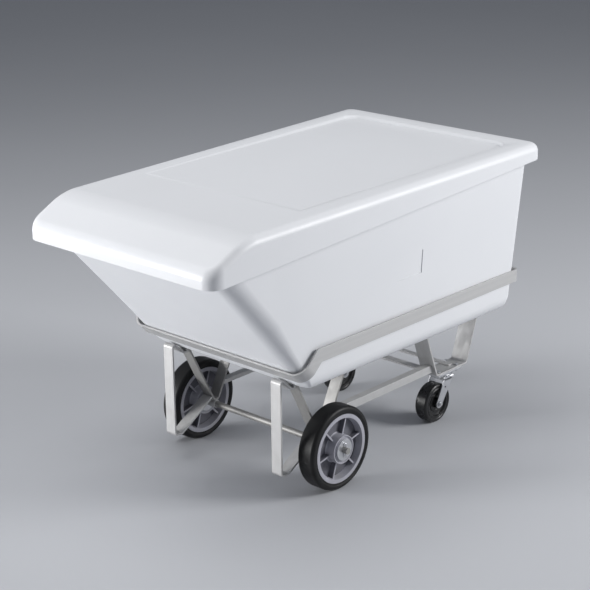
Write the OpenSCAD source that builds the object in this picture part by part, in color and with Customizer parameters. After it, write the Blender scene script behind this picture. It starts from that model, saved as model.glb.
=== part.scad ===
// Lidded shovel-nose tub truck: a moulded tub with a lift-off lid, strapped into an undercarriage
// of bent flat bar, on two fixed main wheels and two swivel casters.
// Millimetres. The truck stands on the floor at z = 0, its nose points to -Y, and the origin is
// the middle of its footprint. Modules are drawn with the main axle above y = 0, and on_axle()
// moves them into place.

/* [Lid] */
// Overall length of the lid
lid_length = 1408; // [1384:4:1432]
// Width of the lid at its rear end
lid_rear_width = 782; // [766:4:798]
// Width of the lid at its nose end
lid_front_width = 734; // [718:4:750]
// Height of the lid's top at the rear
lid_rear_top = 888; // [884:1:894]
// Height of the lid's top at the bend where the nose slope starts
lid_bend_top = 868; // [864:1:872]
// Height of the skirt's lower edge at the rear
skirt_rear_z = 840; // [830:2:846]
// Height of the skirt's lower edge at the nose
skirt_front_z = 756; // [746:2:764]
// Thickness of the lid's wall
lid_wall = 5; // [4:0.5:6]
// Depth of the sunken panel in the lid's top
panel_depth = 9; // [4:1:11]

/* [Tub] */
// Thickness of the tub's wall
tub_wall = 6; // [5:0.5:8]
// Outside height of the tub's floor
floor_z = 343; // [343:1:350]
// Width of the rolled lip round the tub's mouth
lip_width = 12; // [8:1:14]

/* [Undercarriage] */
// Width of the flat bar used for the band and the front legs
bar_width = 38; // [32:1:42]
// Thickness of the flat bar
bar_thick = 6; // [5:0.5:8]
// Height of the band round the tub
band_width = 40; // [36:1:44]
// Distance from the middle plane to the middle of the front legs
leg_x = 218; // [212:1:224]
// Height of the underside of the stop at the foot of each front leg
foot_z = 75; // [65:2:85]
// Width of the straps that carry the casters
caster_strap_width = 60; // [56:1:64]
// Leg of the angle bar used for the lower rails
rail_leg = 25; // [22:1:28]

/* [Main wheels] */
// Radius of the axle bar
axle_r = 9.5; // [9:0.5:10]
// Width of the tread
tread_width = 60; // [54:1:62]
// Radius of the wheel core where the tyre starts
core_r = 104.5; // [102:0.5:106]
// Radius of the hub barrel
hub_r = 43; // [40:1:45]
// Number of ribs on each wheel core
rib_count = 6; // [5:1:8]

/* [Casters] */
// Distance from the middle plane to each caster's swivel axis
caster_x = 196; // [190:1:200]
// Radius of the caster wheels
caster_r = 63.5; // [61:0.5:64]
// Width of the caster wheels
caster_width = 44; // [38:1:46]
// Distance the wheel trails behind the swivel axis
caster_trail = 49; // [44:1:53]

/* [Hidden] */
$fn = 64;
hull_fn = 32;
eps = 0.02;
run_fit = 0.05;
air = 0.3;

// axle and wheel positions
wheel_r = 127;
axle_y = -146;
wheel_out_x = 309;
wheel_mid_x = wheel_out_x - tread_width / 2;
hub_in_x = wheel_mid_x - 38;
hub_out_x = wheel_mid_x + 38;
axle_end_x = hub_out_x + 17;

// lid outline, seen from above
lid_front_y = -axle_y - lid_length / 2;
lid_rear_y = -axle_y + lid_length / 2;
lid_corner_r = 44;
lid_edge_r = 20;
lid_bend_y = -403;
lid_front_top = 812;

// tub corners, and the nose plane through (nose_y, nose_z) that rises towards -Y
tub_inset = 26;
tub_corner_r = 36;
nose_corner_r = 50;
floor_edge_r = 42;
floor_nose_r = 62;
nose_tilt = 48.5;
nose_y = -195;
nose_z = 414;
rim_rear_z = 878;
rim_bend_z = 859;
rim_front_z = 775;
rim_bend_y = -350;
nose_rim_y = nose_y - (rim_front_z - nose_z) / tan(nose_tilt) + nose_corner_r;
floor_front_y = nose_y + (nose_z - floor_z) / tan(nose_tilt) + floor_nose_r * tan(nose_tilt / 2);
floor_rear_y = 798 - floor_edge_r;
floor_rear_half = 328 - floor_edge_r;
floor_front_half = 323 - floor_nose_r;

// band: a level bar round the sides and rear, and a sloping bar round the nose
band_half = 340.3;
band_rear_y = 810;
band_kink_y = -138;
band_kink_z = 481;
loop_tilt = 43;
loop_depth = 92.7;

// undercarriage
axle_z = wheel_r;
sleeve_r = 13;
seat_z = axle_z + sleeve_r + air + bar_thick / 2;
rail_mid_z = floor_z - air - bar_thick / 2;
strap_top_z = rail_mid_z - bar_thick / 2 - air;
post_y = -175;
post_top_z = 377;
top_flange_z = rail_mid_z - bar_thick - 0.1;
angle_top_z = 200.5;
angle_x = 215;
angle_wall = 3;
caster_y = 620;
plate_bottom_z = 154;
plate_thick = 6;
strap_floor_z = plate_bottom_z + plate_thick + 0.1;
caster_axle_y = caster_y - caster_trail;

white_poly = [0.93, 0.93, 0.94];
bare_metal = [0.74, 0.75, 0.77];
zinc_metal = [0.68, 0.69, 0.72];
core_grey = [0.62, 0.62, 0.66];
tyre_black = [0.07, 0.07, 0.08];

// ---------- helpers ----------

module on_axle() { translate([0, axle_y, 0]) children(); }

module both_sides() { children(); mirror([1, 0, 0]) children(); }

function unit(v) = v / norm(v);
function cross2(a, b) = a[0] * b[1] - a[1] * b[0];
function perp(v) = [-v[1], v[0]];

// points of the arc of radius r that rounds the corner q between p and s
function corner(p, q, s, r, n = 6) =
  let (a = unit(p - q), b = unit(s - q), half = acos(a * b) / 2)
  let (reach = r / tan(half), c = q + unit(a + b) * r / sin(half))
  let (from = q + a * reach - c, to = q + b * reach - c)
  let (sweep = atan2(cross2(from, to), from * to), start = atan2(from[1], from[0]))
  [for (i = [0 : n]) c + r * [cos(start + sweep * i / n), sin(start + sweep * i / n)]];

// an open path with each inner corner rounded to radius r
function bent(path, r, n = 6) = let (last = len(path) - 1)
  [for (i = [0 : last]) each (i == 0 || i == last) ? [path[i]]
    : corner(path[i - 1], path[i], path[i + 1], r, n)];

// a closed outline with every corner rounded to radius r
function rounded(path, r, n = 6) = let (m = len(path))
  [for (i = [0 : m - 1]) each
    corner(path[(i + m - 1) % m], path[i], path[(i + 1) % m], r, n)];

// the outline of a bar of thickness t that follows an open path
function side_of(path, d) = let (last = len(path) - 1)
  [for (i = [0 : last])
    let (a = i == 0 ? unit(path[1] - path[0]) : unit(path[i] - path[i - 1]))
    let (b = i == last ? a : unit(path[i + 1] - path[i]), m = unit(perp(a) + perp(b)))
    path[i] + m * d / (m * perp(a))];
function reversed(v) = [for (i = [len(v) - 1 : -1 : 0]) v[i]];
function bar_outline(path, t) = concat(side_of(path, t / 2), reversed(side_of(path, -t / 2)));

// a shape drawn in the side view (y, z), as wide as w and centred on x
module side_slab(x, w) {
  translate([x - w / 2, 0, 0]) rotate([90, 0, 90]) linear_extrude(w) children();
}

module bar_from(path, x, w, t) { side_slab(x, w) polygon(bar_outline(path, t)); }

// cuts a strap's sloping ends level, just under the rails it is welded to
module level_top() {
  intersection() {
    children();
    translate([-450, -450, 0]) cube([900, 1400, strap_top_z]);
  }
}

// a cylinder along X from x0 to x1, round the axis at (y, z)
module rod(x0, x1, y, z, r, sides = 64) {
  translate([x0, y, z]) rotate([0, 90, 0]) cylinder(h = x1 - x0, r = r, $fn = sides);
}

// a body turned about X, from a profile of [distance from the axis, x]
module turned(y, z) { translate([0, y, z]) rotate([0, 90, 0]) rotate_extrude() children(); }

// ---------- lid ----------

// a round puck with a rounded upper edge, h tall, its top at z
module puck(x, y, z, r, edge, h) {
  translate([x, y, z - h]) rotate_extrude($fn = hull_fn) {
    square([r - edge, h]);
    square([r, h - edge]);
    translate([r - edge, h - edge]) circle(edge, $fn = hull_fn);
  }
}

// the lid's outer shape, or its hollow when shrunk by s and stretched down by drop
module lid_body(s, drop) {
  rear_x = lid_rear_width / 2 - lid_corner_r;
  bend_x = (lid_rear_width + lid_front_width) / 4 - lid_corner_r - 7;
  front_x = lid_front_width / 2 - lid_corner_r;
  r = lid_corner_r - s;
  edge = lid_edge_r - s;
  hull() both_sides() {
    puck(rear_x, lid_rear_y - lid_corner_r, lid_rear_top - s, r, edge,
      lid_rear_top - s - skirt_rear_z + drop);
    puck(bend_x, lid_bend_y, lid_bend_top - s, r, edge, 70);
    puck(front_x, lid_front_y + lid_corner_r, lid_front_top - s, r, edge,
      lid_front_top - s - skirt_front_z + drop);
  }
}

// the height of the lid's top behind the bend
function lid_top(y) = lid_bend_top + (lid_rear_top - lid_bend_top)
  * (y - lid_bend_y) / (lid_rear_y - lid_corner_r - lid_bend_y);

// the space over the sunken panel, grown by g on every side; its floor rises to meet the top
module panel_space(g) {
  fade_y = -160;
  panel_rear_y = lid_rear_y - 76 + g;
  intersection() {
    translate([0, 0, lid_bend_top - 60]) linear_extrude(150) polygon(rounded([
      [-318 - g, panel_rear_y], [-306 - g, fade_y - 120], [306 + g, fade_y - 120],
      [318 + g, panel_rear_y]], 45 + g));
    side_slab(0, 900) polygon([[900, lid_top(900) - panel_depth - g],
      [fade_y, lid_top(fade_y) - g], [fade_y, lid_rear_top + 30], [900, lid_rear_top + 30]]);
  }
}

module lid() {
  color(white_poly) on_axle() difference() {
    lid_body(0, 0);
    difference() {
      lid_body(lid_wall, 20);
      panel_space(lid_wall);
    }
    panel_space(0);
  }
}

// ---------- tub ----------

module disc(x, y, z, r, h) { translate([x, y, z - h]) cylinder(h = h, r = r, $fn = hull_fn); }

function rim_half(y) = lid_front_width / 2 - tub_inset
  + (lid_rear_width - lid_front_width) / 2 * (y - lid_front_y) / lid_length;
rim_rear_y = lid_rear_y - tub_inset - tub_corner_r;

// the corners of the mouth, g larger all round, up pieces of height h that end at rise
module rim_rear(g, rise, h) {
  disc(rim_half(rim_rear_y) - tub_corner_r, rim_rear_y, rim_rear_z + rise, tub_corner_r + g, h);
}
module rim_bend(g, rise, h) {
  disc(rim_half(rim_bend_y) - nose_corner_r, rim_bend_y, rim_bend_z + rise, nose_corner_r + g, h);
}
module rim_front(g, rise, h) {
  disc(rim_half(nose_rim_y) - nose_corner_r, nose_rim_y, rim_front_z + rise, nose_corner_r + g, h);
}

module tub_body(g, rise, h) {
  hull() both_sides() {
    rim_rear(g, rise, h);
    rim_bend(g, rise, h);
    rim_front(g, rise, h);
    translate([floor_rear_half, floor_rear_y, floor_z + floor_edge_r])
      sphere(floor_edge_r + g, $fn = hull_fn);
    translate([floor_front_half, floor_front_y, floor_z + floor_nose_r])
      sphere(floor_nose_r + g, $fn = hull_fn);
  }
}

module tub() {
  color(white_poly) on_axle() difference() {
    union() {
      tub_body(0, 0, 8);
      hull() both_sides() { rim_rear(lip_width, 0, 10); rim_bend(lip_width, 0, 10); }
      hull() both_sides() { rim_bend(lip_width, 0, 10); rim_front(lip_width, 0, 10); }
    }
    tub_body(-tub_wall, 0.5, 8);
  }
}

// ---------- undercarriage ----------

// where the level band and the sloping nose band meet, on a mitre through the kink
function mitre_y(z) = band_kink_y + (band_kink_z - z) * tan(loop_tilt / 2);

module band() {
  side_path = bent([[-band_half, band_kink_y - 5], [-band_half, band_rear_y],
    [band_half, band_rear_y], [band_half, band_kink_y - 5]], 16);
  color(bare_metal) on_axle() intersection() {
    translate([0, 0, band_kink_z - band_width]) linear_extrude(band_width)
      polygon(bar_outline(side_path, bar_thick));
    side_slab(0, 800) polygon([[mitre_y(500) + 0.1, 500], [mitre_y(420) + 0.1, 420],
      [900, 420], [900, 500]]);
  }
}

module nose_band() {
  loop_path = bent([[-band_half, 25], [-band_half, -loop_depth],
    [band_half, -loop_depth], [band_half, 25]], 40, 8);
  color(bare_metal) on_axle() intersection() {
    translate([0, band_kink_y, band_kink_z]) rotate([loop_tilt, 0, 0])
      translate([0, 0, -band_width]) linear_extrude(band_width)
        polygon(bar_outline(loop_path, bar_thick));
    side_slab(0, 800) polygon([[mitre_y(520) - 0.1, 520], [mitre_y(340) - 0.1, 340],
      [-400, 340], [-400, 520]]);
  }
}

// one bar: forward under the nose, down the front post, flat along the stop, and up the diagonal
// to the axle
module front_leg() {
  stop_z = foot_z + bar_thick / 2;
  color(bare_metal) on_axle() bar_from(bent([[-116, top_flange_z], [-130, top_flange_z],
    [post_y, post_top_z], [post_y, stop_z + 1], [-147, stop_z - 1], [-19, 154.2]], 8, 5),
    leg_x, bar_width, bar_thick);
}

// one bar: down from the tub, flat over the axle, and up to the tub again
module v_strap() {
  color(bare_metal) on_axle() level_top() bar_from(bent([[-109, strap_top_z + 5], [-9, seat_z],
    [9, seat_z], [107, strap_top_z + 5]], 8, 4), leg_x, bar_width, bar_thick);
}

module under_rail() {
  color(bare_metal) on_axle() bar_from([[-122, rail_mid_z], [780, rail_mid_z]],
    leg_x, bar_width, bar_thick);
}

// an angle bar: a face outward and a flange inward along its top
module lower_rail() {
  color(bare_metal) on_axle() intersection() {
    translate([angle_x, 0, angle_top_z]) rotate([-90, 0, 0]) linear_extrude(600)
      polygon([[0, 0], [-rail_leg, 0], [-rail_leg, angle_wall], [-angle_wall, angle_wall],
        [-angle_wall, rail_leg], [0, rail_leg]]);
    side_slab(angle_x, 200) polygon([[6, 130], [46, 210], [532.5, 210], [562.5, 130]]);
  }
}

module rail_cross_bar() {
  color(bare_metal) on_axle() translate([-206, 497, angle_top_z - angle_wall - 5.1])
    cube([412, 28, 5]);
}

module strap_cross_bar() {
  color(bare_metal) on_axle() translate([-206, 639, strap_floor_z + bar_thick + 0.1])
    cube([412, 19, 5]);
}

// a cylinder at each of the caster plate's four bolts
module plate_bolts(z, h, r, sides = 32) {
  for (x = [-20, 20], y = [-46, 46]) translate([caster_x + x, caster_y + y, z])
    cylinder(h = h, r = r, $fn = sides);
}

module caster_strap() {
  mid_z = strap_floor_z + bar_thick / 2;
  color(bare_metal) on_axle() difference() {
    level_top() bar_from(bent([[488, strap_top_z + 5], [555, mid_z],
      [708, mid_z], [768, strap_top_z + 5]], 12, 4), caster_x, caster_strap_width, bar_thick);
    plate_bolts(strap_floor_z - 1, bar_thick + 2, 4 + eps);
  }
}

module axle() {
  color(zinc_metal) on_axle() rod(-axle_end_x, axle_end_x, 0, axle_z, axle_r);
}

module axle_sleeve() {
  color(bare_metal) on_axle() difference() {
    rod(leg_x - bar_width / 2, leg_x + bar_width / 2, 0, axle_z, sleeve_r);
    rod(leg_x - bar_width, leg_x + bar_width, 0, axle_z, axle_r + eps);
  }
}

// ---------- main wheels ----------

module hub_washers() {
  color(zinc_metal) on_axle() both_sides() {
    for (x = [hub_in_x - 3.2, hub_out_x + 0.2]) difference() {
      rod(x, x + 3, 0, axle_z, 32);
      rod(x - 1, x + 4, 0, axle_z, axle_r + eps);
    }
  }
}

module cotter_pins() {
  color(zinc_metal) on_axle() both_sides() translate([hub_out_x + 8, 0, axle_z]) {
    for (s = [-1, 1]) translate([0, 0, s > 0 ? axle_r + air : -axle_r - air - 12])
      cylinder(h = 12, r = 2, $fn = 24);
  }
}

module main_tyre() {
  w = tread_width / 2;
  color(tyre_black) on_axle() turned(0, axle_z) translate([0, wheel_mid_x]) polygon(concat(
    [[core_r + eps, -w + 2], [core_r + 4, -w + 0.5], [core_r + 8, -w]],
    corner([core_r + 8, -w], [wheel_r, -w], [wheel_r, w], 11, 6),
    corner([wheel_r, -w], [wheel_r, w], [core_r + 8, w], 11, 6),
    [[core_r + 8, w], [core_r + 4, w - 0.5], [core_r + eps, w - 2]]));
}

module main_core() {
  w = tread_width / 2;
  color(core_grey) on_axle() difference() {
    union() {
      turned(0, axle_z) translate([0, wheel_mid_x]) polygon([[14, -38], [hub_r, -38],
        [hub_r, -5], [88, -4], [90, -w + 1], [core_r, -w + 1], [core_r, w - 1], [90, w - 1],
        [88, 4], [hub_r, 5], [hub_r, 38], [14, 38]]);
      for (i = [0 : rib_count - 1]) translate([wheel_mid_x, 0, axle_z])
        rotate([i * 360 / rib_count - 18, 0, 0]) translate([-22, -2.5, hub_r - 2])
          cube([44, 5, 91 - hub_r]);
    }
    rod(hub_in_x - 1, hub_out_x + 1, 0, axle_z, 16 + eps);
  }
}

module main_bush() {
  color(zinc_metal) on_axle() difference() {
    rod(hub_in_x, hub_out_x, 0, axle_z, 16);
    rod(hub_in_x - 1, hub_out_x + 1, 0, axle_z, axle_r + run_fit);
  }
}

// ---------- casters ----------

module caster_plate() {
  color(zinc_metal) on_axle() difference() {
    translate([caster_x - 30, caster_y - 57, plate_bottom_z]) cube([60, 114, plate_thick]);
    plate_bolts(plate_bottom_z - 1, plate_thick + 2, 4 + eps);
    translate([caster_x, caster_y, plate_bottom_z - 1])
      cylinder(h = plate_thick + 2, r = 6 + eps, $fn = 32);
  }
}

// four bolts through the strap and the plate, their heads on top
module caster_bolts() {
  top_z = strap_floor_z + bar_thick + 0.1;
  color(zinc_metal) on_axle() {
    plate_bolts(plate_bottom_z - 6, 5.9, 7, 6);
    plate_bolts(plate_bottom_z - 6, top_z + 6 - plate_bottom_z + 3, 4);
    plate_bolts(top_z, 6, 7, 6);
  }
}

module kingpin() {
  color(zinc_metal) on_axle() translate([caster_x, caster_y, 0]) {
    translate([0, 0, 135]) cylinder(h = 5.3, r = 9, $fn = 6);
    translate([0, 0, 135]) cylinder(h = plate_bottom_z + plate_thick - 135, r = 6, $fn = 32);
  }
}

// a raceway dish, a crown plate and two legs that carry the wheel
module caster_fork() {
  leg = 3;
  inner = caster_width / 2 + 4;
  color(zinc_metal) on_axle() difference() {
    union() {
      translate([caster_x, caster_y, 146.2]) cylinder(h = 7.5, r = 27);
      translate([caster_x, caster_y, 140.5]) cylinder(h = 6, r = 24);
      for (s = [-1, 1]) side_slab(caster_x + s * (inner + leg / 2), leg) polygon(concat(
        [[caster_y + 23, 143.5], [caster_y - 23, 143.5]],
        corner([caster_y - 23, 143.5], [caster_axle_y - 14, caster_r - 14],
          [caster_axle_y + 14, caster_r - 14], 12, 6),
        corner([caster_axle_y - 14, caster_r - 14], [caster_axle_y + 14, caster_r - 14],
          [caster_y + 23, 143.5], 12, 6)));
      translate([caster_x - inner - leg, caster_y - 23, 140.5])
        cube([2 * (inner + leg), 46, 3]);
    }
    translate([caster_x, caster_y, 130]) cylinder(h = 30, r = 6 + run_fit, $fn = 32);
    rod(caster_x - 40, caster_x + 40, caster_axle_y, caster_r, 5 + eps, 32);
  }
}

module caster_axle() {
  reach = caster_width / 2 + 7;
  color(zinc_metal) on_axle() {
    rod(caster_x - reach - 8, caster_x + reach + 8, caster_axle_y, caster_r, 5, 32);
    for (x = [-reach - 5.5, reach + 0.3]) rod(caster_x + x, caster_x + x + 5.2, caster_axle_y,
      caster_r, 9, 6);
  }
}

module caster_core() {
  w = caster_width / 2;
  color(core_grey) on_axle() turned(caster_axle_y, caster_r) translate([0, caster_x])
    polygon([[5 + run_fit, -w - 2.5], [14, -w - 2.5], [15, -w + 5], [40, -w + 4],
      [44, -w + 1], [50, -w + 1], [50, w - 1], [44, w - 1], [40, w - 4], [15, w - 5],
      [14, w + 2.5], [5 + run_fit, w + 2.5]]);
}

module caster_tyre() {
  w = caster_width / 2;
  color(tyre_black) on_axle() turned(caster_axle_y, caster_r) translate([0, caster_x])
    polygon(concat([[50 + eps, -w + 1], [53, -w]],
      corner([53, -w], [caster_r, -w], [caster_r, w], 6, 5),
      corner([caster_r, -w], [caster_r, w], [53, w], 6, 5),
      [[53, w], [50 + eps, w - 1]]));
}

// ---------- nodes: "left" is the +X side ----------

lid();
tub();
band();
nose_band();
front_leg();  // front_leg_left
mirror([1, 0, 0]) front_leg();  // front_leg_right
v_strap();  // v_strap_left
mirror([1, 0, 0]) v_strap();  // v_strap_right
under_rail();  // under_rail_left
mirror([1, 0, 0]) under_rail();  // under_rail_right
lower_rail();  // lower_rail_left
mirror([1, 0, 0]) lower_rail();  // lower_rail_right
rail_cross_bar();
strap_cross_bar();
caster_strap();  // caster_strap_left
mirror([1, 0, 0]) caster_strap();  // caster_strap_right
axle();
axle_sleeve();  // axle_sleeve_left
mirror([1, 0, 0]) axle_sleeve();  // axle_sleeve_right
hub_washers();
cotter_pins();
main_tyre();  // main_tyre_left
mirror([1, 0, 0]) main_tyre();  // main_tyre_right
main_core();  // main_core_left
mirror([1, 0, 0]) main_core();  // main_core_right
main_bush();  // main_bush_left
mirror([1, 0, 0]) main_bush();  // main_bush_right
caster_plate();  // caster_plate_left
mirror([1, 0, 0]) caster_plate();  // caster_plate_right
caster_bolts();  // caster_bolts_left
mirror([1, 0, 0]) caster_bolts();  // caster_bolts_right
kingpin();  // kingpin_left
mirror([1, 0, 0]) kingpin();  // kingpin_right
caster_fork();  // caster_fork_left
mirror([1, 0, 0]) caster_fork();  // caster_fork_right
caster_axle();  // caster_axle_left
mirror([1, 0, 0]) caster_axle();  // caster_axle_right
caster_core();  // caster_core_left
mirror([1, 0, 0]) caster_core();  // caster_core_right
caster_tyre();  // caster_tyre_left
mirror([1, 0, 0]) caster_tyre();  // caster_tyre_right
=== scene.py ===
"""A lidded shovel-nose tub truck: the moulded tub and lid, the bent-bar undercarriage and its four
wheels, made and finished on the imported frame. Metres; the nose points to -Y and "left" is +X."""

import logging
import math
from dataclasses import dataclass
from enum import Enum
from typing import Callable, Sequence

import bmesh
import bpy
from mathutils import Matrix, Vector


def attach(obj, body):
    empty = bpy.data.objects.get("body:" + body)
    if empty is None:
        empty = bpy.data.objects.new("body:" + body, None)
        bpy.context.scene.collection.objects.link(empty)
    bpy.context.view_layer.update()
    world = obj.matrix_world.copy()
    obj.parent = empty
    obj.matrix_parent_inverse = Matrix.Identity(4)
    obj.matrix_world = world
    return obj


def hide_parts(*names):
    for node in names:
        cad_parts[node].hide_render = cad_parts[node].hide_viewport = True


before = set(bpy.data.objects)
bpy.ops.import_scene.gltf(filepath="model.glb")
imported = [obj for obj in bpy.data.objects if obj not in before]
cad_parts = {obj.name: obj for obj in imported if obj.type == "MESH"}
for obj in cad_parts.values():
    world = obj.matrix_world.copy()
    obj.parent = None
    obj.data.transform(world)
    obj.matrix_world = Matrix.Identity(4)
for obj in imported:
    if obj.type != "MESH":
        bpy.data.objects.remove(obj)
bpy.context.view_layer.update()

LOG = logging.getLogger("tub_truck")
AXLE_Y = -0.146
SIDES = ("left", "right")
NEAR = 1e-4
SAME = 1e-5
Point = tuple[float, float, float]
Profile = tuple[tuple[float, float], ...]


def mm(x: float, y: float, z: float) -> Vector:
    """Return a point given in millimetres from the floor below the main axle's middle."""
    return Vector((x / 1000, y / 1000 + AXLE_Y, z / 1000))


# ---- bench


class Workpiece:
    """One mesh on the bench, worked with the edit-mode tools on the parts that are picked."""

    def __init__(self, obj: bpy.types.Object) -> None:
        """Take a mesh object onto the bench."""
        self.obj = obj

    @staticmethod
    def clear_bench() -> None:
        """Leave edit mode and deselect everything."""
        if bpy.context.object is not None and bpy.context.object.mode != "OBJECT":
            bpy.ops.object.mode_set(mode="OBJECT")
        bpy.ops.object.select_all(action="DESELECT")

    def hold(self) -> None:
        """Take this piece alone in hand, in object mode."""
        self.clear_bench()
        bpy.context.view_layer.objects.active = self.obj
        self.obj.select_set(True)

    # ---- starting blanks

    @classmethod
    def _fresh(cls, name: str) -> "Workpiece":
        """Name the primitive just added and bring its place into its mesh.

        Args:
            name: The piece's name.

        Returns:
            The new workpiece.
        """
        obj = bpy.context.object
        obj.name = obj.data.name = name
        bpy.ops.object.transform_apply(location=True, rotation=True, scale=True)
        return cls(obj)

    @classmethod
    def block(cls, name: str, low: Sequence[float], high: Sequence[float],
              turn: float = 0) -> "Workpiece":
        """Start from a block.

        Args:
            name: The piece's name.
            low: The lowest corner.
            high: The highest corner.
            turn: How far the block is turned about X, through its middle.

        Returns:
            The new workpiece.
        """
        cls.clear_bench()
        size = [b - a for a, b in zip(low, high)]
        bpy.ops.mesh.primitive_cube_add(size=1, location=[(a + b) / 2 for a, b in zip(low, high)],
                                        rotation=(turn, 0, 0), scale=size)
        return cls._fresh(name)

    @classmethod
    def round_bar(cls, name: str, centre: Sequence[float], radius: float, length: float,
                  axis: str = "X", sides: int = 96) -> "Workpiece":
        """Start from a round blank.

        Args:
            name: The piece's name.
            centre: The middle of the blank.
            radius: Its radius.
            length: Its length along the axis.
            axis: "X" or "Z".
            sides: How many flats the round has.

        Returns:
            The new workpiece.
        """
        cls.clear_bench()
        turn = (0, math.pi / 2, 0) if axis == "X" else (0, 0, 0)
        bpy.ops.mesh.primitive_cylinder_add(vertices=sides, radius=radius, depth=length,
                                            location=centre, rotation=turn)
        return cls._fresh(name)

    @classmethod
    def strip(cls, name: str, stations: Sequence[tuple[Vector, Vector]]) -> "Workpiece":
        """Draw a sheet strip out of a narrow plane, one station after another.

        Args:
            name: The piece's name.
            stations: The strip's upper and lower point at each station.

        Returns:
            The new workpiece.
        """
        cls.clear_bench()
        first, second = stations[0], stations[1]
        middle = (first[0] + first[1] + second[0] + second[1]) / 4
        bpy.ops.mesh.primitive_plane_add(size=1, location=middle, rotation=(math.pi / 2, 0, 0))
        piece = cls._fresh(name)
        piece.pick_faces(lambda f: True)
        piece.grow(((second[0] - first[0]).length, 1, (first[0] - first[1]).length), middle)
        top, low = second
        for upper, lower in stations[2:]:
            piece.pick_edges(lambda e: all(min((v.co - top).length, (v.co - low).length) < SAME
                                           for v in e.verts))
            piece.pull(upper - top)
            drawn = low + upper - top
            if (lower - drawn).length > SAME / 10:
                piece.carry(drawn, lower)
            top, low = upper, lower
        return piece

    # ---- picking

    def edit(self) -> None:
        """Go into edit mode on this piece."""
        if bpy.context.object is self.obj and self.obj.mode == "EDIT":
            return
        self.hold()
        bpy.ops.object.mode_set(mode="EDIT")

    def _pick(self, kind: str, test: Callable) -> None:
        """Select what passes the test and nothing else.

        Args:
            kind: "VERT", "EDGE" or "FACE".
            test: What is asked of each part.
        """
        self.edit()
        bpy.ops.mesh.select_mode(type=kind)
        bpy.ops.mesh.select_all(action="DESELECT")
        mesh = bmesh.from_edit_mesh(self.obj.data)
        mesh.normal_update()
        items = {"VERT": mesh.verts, "EDGE": mesh.edges, "FACE": mesh.faces}[kind]
        for item in [item for item in items if test(item)]:
            item.select_set(True)
        mesh.select_flush_mode()
        bmesh.update_edit_mesh(self.obj.data)

    def pick_points(self, test: Callable[[bmesh.types.BMVert], bool]) -> None:
        """Select the points that pass the test."""
        self._pick("VERT", test)

    def pick_edges(self, test: Callable[[bmesh.types.BMEdge], bool]) -> None:
        """Select the edges that pass the test."""
        self._pick("EDGE", test)

    def pick_faces(self, test: Callable[[bmesh.types.BMFace], bool]) -> None:
        """Select the faces that pass the test."""
        self._pick("FACE", test)

    def pick_border(self) -> None:
        """Select the edges round every opening."""
        self.edit()
        bpy.ops.mesh.select_mode(type="EDGE")
        bpy.ops.mesh.select_all(action="DESELECT")
        bpy.ops.mesh.select_non_manifold()

    # ---- shaping what is picked

    def shift(self, by: Sequence[float]) -> None:
        """Move the picked parts."""
        bpy.ops.transform.translate(value=tuple(by))

    def nudge(self, test: Callable[[bmesh.types.BMVert], bool], by: Sequence[float]) -> None:
        """Move the points that pass the test."""
        self.pick_points(test)
        self.shift(by)

    def carry(self, was: Vector, goal: Vector) -> None:
        """Move the point at one place to another."""
        self.nudge(lambda v: (v.co - was).length < NEAR, goal - was)

    def grow(self, factors: Sequence[float], about: Sequence[float]) -> None:
        """Scale the picked parts about a point."""
        bpy.ops.transform.resize(value=tuple(factors), center_override=tuple(about))

    def pull(self, by: Sequence[float]) -> None:
        """Extrude the picked parts."""
        bpy.ops.mesh.extrude_region_move(TRANSFORM_OT_translate={"value": tuple(by)})

    def inset(self, width: float) -> None:
        """Inset the picked faces."""
        bpy.ops.mesh.inset(thickness=width, depth=0, use_boundary=True)

    def round_over(self, width: float, steps: int) -> None:
        """Bevel the picked edges."""
        bpy.ops.mesh.bevel(offset=width, segments=steps, profile=0.5, affect="EDGES",
                           clamp_overlap=False)

    def drop_faces(self) -> None:
        """Delete the picked faces."""
        bpy.ops.mesh.delete(type="FACE")

    # ---- cuts

    def saw(self, point: Sequence[float], normal: Sequence[float]) -> None:
        """Cut through the whole piece along a plane and keep both sides.

        Args:
            point: A point of the plane.
            normal: The plane's normal.
        """
        self.edit()
        bpy.ops.mesh.select_all(action="SELECT")
        bpy.ops.mesh.bisect(plane_co=tuple(point), plane_no=tuple(normal))

    def turn_ends(self, middle: float, profile: Profile, hollow: bool = False) -> None:
        """Turn both end faces of a round blank into rings and recesses, from the rim inwards.

        Args:
            middle: The blank's middle along X.
            profile: Radius and distance from the middle after each cut.
            hollow: Whether what is left of each end face goes.
        """
        for side in (1, -1):
            end = max(v.co.x * side for v in self.obj.data.vertices)
            self.pick_faces(lambda f: f.normal.x * side > 0.9 and len(f.verts) > 8
                            and f.calc_center_median().x * side > end - NEAR)
            mesh = bmesh.from_edit_mesh(self.obj.data)
            face = next(f for f in mesh.faces if f.select)
            centre = face.calc_center_median()
            radius, place = (face.verts[0].co - centre).length, centre.x
            for new_radius, distance in profile:
                new_place, ratio = middle + side * distance, new_radius / radius
                self.pull((new_place - place, 0, 0))
                self.grow((1, ratio, ratio), (new_place, centre.y, centre.z))
                radius, place = new_radius, new_place
            if hollow:
                self.drop_faces()

    def round_tread(self, centre: Vector, radius: float, width: float, steps: int) -> None:
        """Round both edges of a wheel's tread.

        Args:
            centre: The wheel's middle.
            radius: The wheel's radius.
            width: How far in the rounding starts.
            steps: How many steps it has.
        """
        self.pick_edges(lambda e: all((v.co - centre).yz.length > radius - NEAR for v in e.verts)
                        and abs(e.verts[0].co.x - e.verts[1].co.x) < SAME)
        self.round_over(width, steps)

    def cut_away(self, cutter: "Workpiece") -> None:
        """Cut another workpiece's shape out of this one.

        Args:
            cutter: The workpiece that is thrown away.
        """
        cutter.clear_bench()
        self.apply("BOOLEAN", operation="DIFFERENCE", object=cutter.obj, solver="EXACT")
        bpy.data.objects.remove(cutter.obj)

    # ---- finishing the whole piece

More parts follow.
